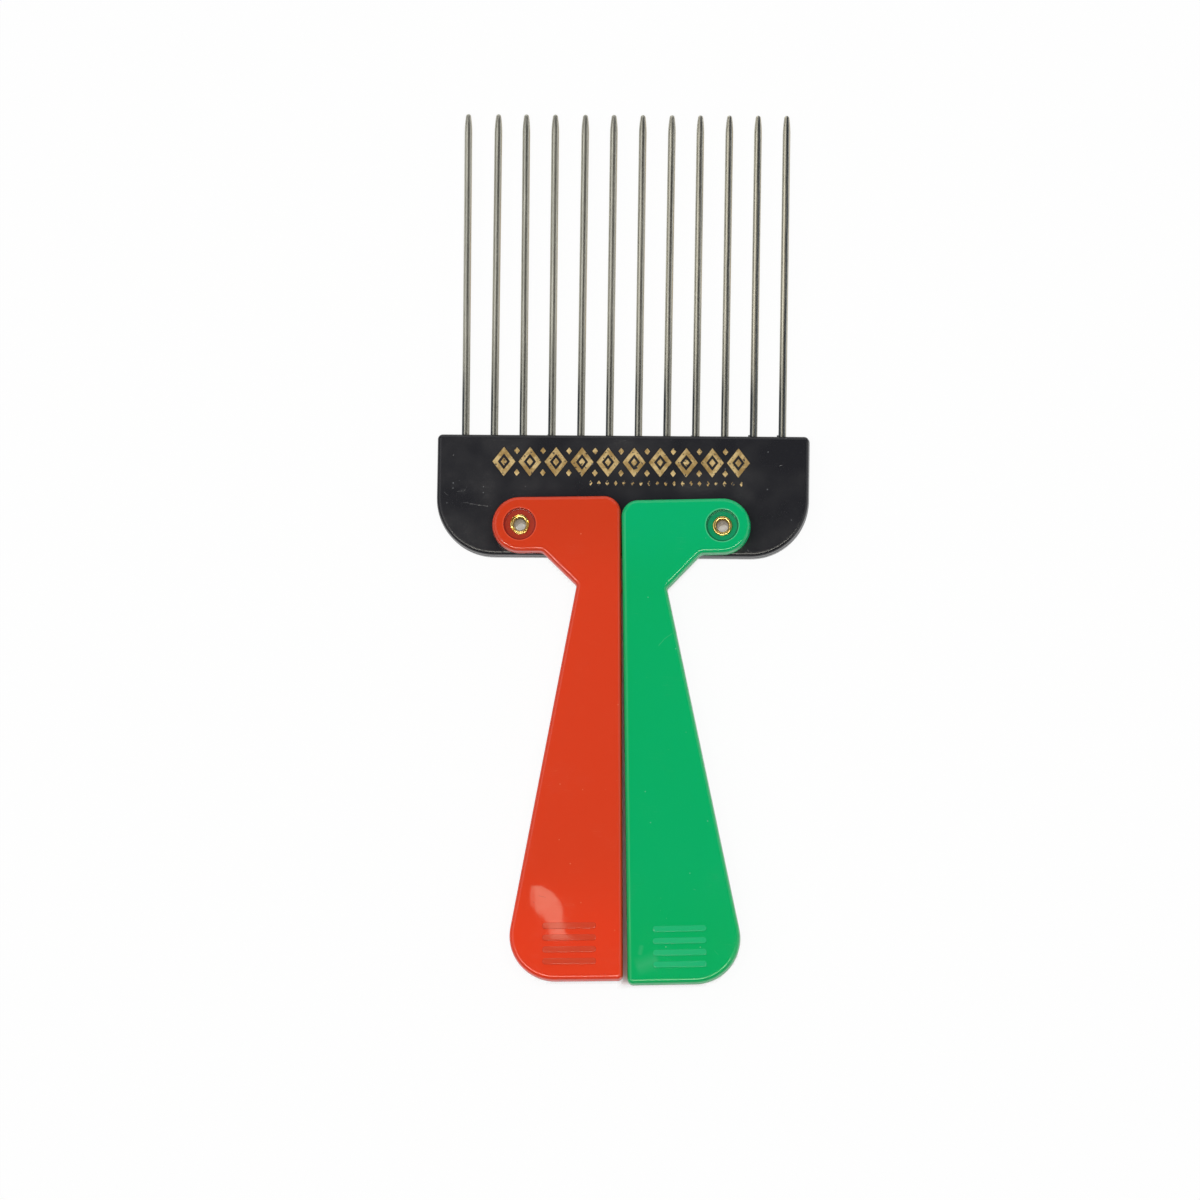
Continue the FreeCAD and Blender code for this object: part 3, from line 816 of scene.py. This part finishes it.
def buildGrip(colour, material):
    # Low bars near the end of a leaf. Each is a rounded oblong whose edge rises as a quarter round to a flat top.
    u, v = grip["length"] / 2, grip["width"] / 2
    turns = np.linspace(0, np.pi / 2, 6)
    insets = np.concatenate(([0.0], 0.16 * (1 - np.cos(turns)), [0.26]))
    heights = leafFront + np.concatenate(([-0.05], grip["proud"] * np.sin(turns), [grip["proud"]]))
    parts = []
    for k in range(grip["bars"]):
        middle = (inwards[colour] * grip["u"], grip["v"] + (k - (grip["bars"] - 1) / 2) * grip["gap"])
        loops = [roundedLoop([(-u, -v), (u, -v), (u, v), (-u, v)], [0.9 * v] * 4, inset, 10) + middle
                 for inset in insets]
        points, faces = stackedLoops(loops, heights)
        parts.append((points, faces + endFaces(len(loops[0]), points)))
    points, faces = mergeParts(parts)
    addPiece(f"{colour}_grip_bars", swung(points, colour), faces, material, f"{colour}_handle",
             slot=f"{colour}_plastic")


buildGrip("red", redPlastic)
buildGrip("green", greenPlastic)
print("grips built")

studio = dict(
    floorHalf=3000.0, floorColour=(0.96, 0.96, 0.955), whiteSeen=0.93, whiteMirrored=0.45,
    holeShade=0.78, room=0.1, roomColour=(1.0, 0.99, 0.97),
    # The sheets under the leaves, in millimetres: how far they reach past the leaf's inner side, how far inside
    # their outline they start and are full, the same from the pivot, and their heights. Their colour is a painted
    # shade.
    shade=dict(past=3.2, edge=(0.5, 2.5), pivot=(8.0, 12.0), colour=(0.74, 0.58, 0.57), pitch=1.0,
               heights=dict(red=-0.05, green=-0.03)),
    # Each panel: power, width and height in metres, and its place.
    panels=dict(
        keyPanel=(8.6, (0.72, 0.33), (0.05, -0.15, 1.2)),
        leftPanel=(3.4, (1.3, 1.05), (-0.74, -0.1, 0.95)),
        rightPanel=(2.5, (1.3, 0.85), (1.12, -0.1, 0.42)),
        farPanel=(4.2, (1.8, 1.0), (0.0, 1.02, 0.6)),
    ),
    # A curved band of light, seen only in gloss: its bearings from the foot's direction and its heights above the
    # floor in degrees, and how far off it is in millimetres.
    band=dict(around=(-66, 60), above=(54, 61), distance=1100.0, power=17.0, colour=(1.0, 0.97, 0.85)),
    # A bent strip of light seen in the gloss of the red leaf: its left and right edge there, in millimetres.
    strip=dict(left=[(-22.0, -103.9), (-22.4, -106.2), (-22.2, -108.8), (-20.9, -110.8), (-18.6, -112.6),
                     (-17.5, -114.8), (-17.0, -118.0)],
               right=[(-19.4, -103.9), (-16.2, -105.8), (-14.4, -108.3), (-13.8, -110.6), (-13.85, -113.8),
                      (-13.0, -116.0), (-10.8, -118.0)],
               height=34.0, power=3.4, colour=(0.85, 1.0, 0.78)),
)


def emptyTree(owner):
    owner.use_nodes = True
    owner.node_tree.nodes.clear()
    return owner.node_tree


def addStage(name, points, faces, material, body=None, **shares):
    mesh = meshOf(name, points, faces)
    mesh.materials.append(material)
    for label, values in shares.items():
        attribute = mesh.attributes.new(label, "FLOAT", "POINT")
        attribute.data.foreach_set("value", values.ravel().astype(np.float32))
    sheet = newObject(name, mesh)
    if body:
        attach(sheet, body)
    return sheet


def buildFloor():
    # White to the camera, and partly to mirrors. Most of that glow is left off below the eyelets, so that the
    # floor there shows in the pick's own shade.
    material = bpy.data.materials.new("floorWhite")
    tree = emptyTree(material)
    path = node(tree, "LightPath")
    x, y, _ = node(tree, "SeparateXYZ", {0: ownPlace(tree)})
    rows = times(ramp(-0.014, -0.01, y), ramp(0.014, 0.01, y))
    hole = reckon("MINIMUM", ramp(0.041, 0.039, reckon("ABSOLUTE", x)), rows)
    kept = reckon("SUBTRACT", 1.0, times(hole, studio["holeShade"]))
    direct = times(times(path["Is Camera Ray"], studio["whiteSeen"]), kept)
    mirrors = times(larger(path["Is Glossy Ray"], path["Is Transmission Ray"]), studio["whiteMirrored"])
    matte = node(tree, "BsdfDiffuse", {"Color": studio["floorColour"]})[0]
    glow = node(tree, "Emission", {"Color": (1, 1, 1), "Strength": 1.0})[0]
    blend = node(tree, "MixShader", {0: larger(direct, mirrors), 1: matte, 2: glow})[0]
    node(tree, "OutputMaterial", {0: blend})
    half, z = studio["floorHalf"], -0.1
    addStage("floor", [(-half, -half, z), (half, -half, z), (half, half, z), (-half, half, z)], [(0, 1, 2, 3)],
             material)


def buildShade(colour):
    # A sheet of painted shade, darker and warmer than the floor, that lies under a leaf, swings with it and hides the
    # floor's glow, so that the leaf's own shade shows. It clears by each point's shortest distance from the leaf's
    # outline, and by its distance from the pivot.
    shade, side = studio["shade"], inwards[colour]
    outline, radii = leafCorners(colour)
    outline[:, 0] += side * shade["past"] * (side * outline[:, 0] > leaf["inner"] - 1)
    start = roundedLoop(outline, radii, 0)
    along = np.roll(start, -1, axis=0) - start
    low, high = start.min(0), start.max(0)
    points = np.stack(np.meshgrid(np.arange(low[0], high[0] + 1, shade["pitch"]),
                                  np.arange(low[1], high[1] + 1, shade["pitch"]), indexing="ij"), -1)
    off = points[:, :, None] - start
    share = np.clip((off * along).sum(-1) / np.maximum((along ** 2).sum(-1), 1e-9), 0, 1)
    nearest = np.linalg.norm(off - share[..., None] * along, axis=-1).min(-1)
    crossed = (start[:, 1] > points[..., 1:]) != (np.roll(start[:, 1], -1) > points[..., 1:])
    slope = along[:, 0] / np.where(along[:, 1] == 0, 1e-9, along[:, 1])
    inside = (crossed & (off[..., 0] < off[..., 1] * slope)).sum(-1) % 2 == 1
    cover = np.interp(np.where(inside, nearest, 0), shade["edge"], (0, 1))
    cover = cover * np.interp(np.linalg.norm(points, axis=-1), shade["pivot"], (0, 1))
    flat = np.concatenate((points, np.full((*cover.shape, 1), shade["heights"][colour])), -1)
    material = bpy.data.materials.new(f"{colour}Shade")
    tree = emptyTree(material)
    amount = node(tree, "Attribute", attribute_name="cover")["Fac"]
    # Painted shade: darker and warmer than the floor.
    matte = node(tree, "BsdfDiffuse", {"Color": shade["colour"]})[0]
    blend = node(tree, "MixShader", {0: amount, 1: node(tree, "BsdfTransparent")[0], 2: matte})[0]
    node(tree, "OutputMaterial", {0: blend})
    sheet = addStage(f"{colour}_shade", swung(flat, colour), sheetFaces(*cover.shape), material,
                     f"{colour}_handle", cover=cover)
    sheet.visible_shadow = False


def buildRoom():
    # A plain dim room, white only where the camera looks past the floor.
    world = bpy.data.worlds.new("studioRoom")
    bpy.context.scene.world = world
    tree = emptyTree(world)
    room = node(tree, "Background", {"Color": studio["roomColour"], "Strength": studio["room"]})[0]
    white = node(tree, "Background", {"Color": (1, 1, 1), "Strength": 1.0})[0]
    blend = node(tree, "MixShader", {0: node(tree, "LightPath")["Is Camera Ray"], 1: room, 2: white})[0]
    node(tree, "OutputWorld", {0: blend})


def addPanel(name, power, size, place, target=(0, -0.015, 0)):
    light = bpy.data.lights.new(name, "AREA")
    light.shape, light.energy = "RECTANGLE", power
    light.size, light.size_y = size
    panel = newObject(name, light)
    panel.location = place
    away = np.array(place) - np.array(target)
    panel.rotation_euler = (math.atan2(math.hypot(away[0], away[1]), away[2]), 0, math.atan2(away[0], -away[1]))
    return panel


def buildCamera(distance=3.0, tiltX=2.897, tiltY=8.0, roll=0.85, aim=(-0.00576, -0.02694), perPixel=0.00026244,
                pixels=1200):
    # Far off, square to the head but for a tilt towards the pick's foot and right, and a slight roll.
    back = np.array([math.sin(math.radians(tiltX)), -math.sin(math.radians(tiltY)), 0])
    back[2] = math.sqrt(1 - back @ back)
    right = np.cross((0, 1, 0), back)
    right /= np.linalg.norm(right)
    up = np.cross(back, right)
    cosine, sine = math.cos(math.radians(roll)), math.sin(math.radians(roll))
    right, up = cosine * right + sine * up, cosine * up - sine * right
    data = bpy.data.cameras.new("camera")
    data.lens = data.sensor_width * distance / perPixel / pixels
    data.clip_start, data.clip_end = 0.05, 50
    camera = newObject("camera", data)
    placed = np.eye(4)
    placed[:3] = np.column_stack((right, up, back, np.array([*aim, 0]) + back * distance))
    camera.matrix_world = Matrix(placed.tolist())
    bpy.context.scene.camera = camera
    return camera


def addGlow(name, grid, power, colour, streaked=False):
    # A sheet of light on a grid of points, seen only in gloss. A streaked one fades towards its first row.
    material = bpy.data.materials.new(name)
    tree = emptyTree(material)
    strength = power
    if streaked:
        fromFirst = node(tree, "Attribute", attribute_name="share")["Fac"]
        moved = span(noise(ownPlace(tree), (1500, 90, 0), 1.0), -0.22, 0.22)
        strength = times(ramp(-0.1, 0.3, reckon("ADD", fromFirst, moved)), power)
    node(tree, "OutputMaterial", {0: node(tree, "Emission", {"Color": colour, "Strength": strength})[0]})
    rows, columns = grid.shape[:2]
    sheet = addStage(name, grid, sheetFaces(rows, columns), material,
                     share=np.repeat(np.linspace(0, 1, rows), columns))
    sheet.visible_camera = sheet.visible_diffuse = sheet.visible_shadow = False


def buildBand():
    # Part of a sphere about the pick, between two bearings and two heights.
    band = studio["band"]
    bearing = np.radians(np.linspace(*band["around"], 48))
    height = np.radians(np.linspace(*band["above"], 5))[:, None]
    grid = np.stack((np.cos(height) * np.sin(bearing), -np.cos(height) * np.cos(bearing),
                     np.sin(height) + 0 * bearing), -1)
    addGlow("lightBand", grid * band["distance"], band["power"], band["colour"])


def buildStrip(camera):
    # The strip's outline on the leaf's face, sent up along the camera's mirrored rays to the strip's height. Each
    # edge is a smooth curve near the given points: their mean, weighted by how near they are along it.
    strip = studio["strip"]
    edges = np.array([strip["left"], strip["right"]], float)
    steps = np.linspace(0, edges.shape[1] - 1, 60)
    nearby = np.exp(-((steps[:, None] - np.arange(edges.shape[1])) / 0.55) ** 2)
    edges = (nearby / nearby.sum(1)[:, None]) @ edges
    across = np.linspace(0, 1, 9)[:, None, None]
    grid = edges[0] * (1 - across) + edges[1] * across
    eye = np.array(camera.matrix_world.translation) / mm
    grid = grid + (grid - eye[:2]) * (strip["height"] - leafFront) / (eye[2] - leafFront)
    grid = np.concatenate((grid, np.full((*grid.shape[:2], 1), strip["height"])), -1)
    addGlow("lightStrip", grid, strip["power"], strip["colour"], streaked=True)


buildFloor()
buildShade("red")
buildShade("green")
buildRoom()
for name, (power, size, place) in studio["panels"].items():
    addPanel(name, power, size, place).visible_glossy = name != "keyPanel"
buildBand()
buildStrip(buildCamera())
bpy.context.scene.view_settings.view_transform = "Standard"
print("studio ready")
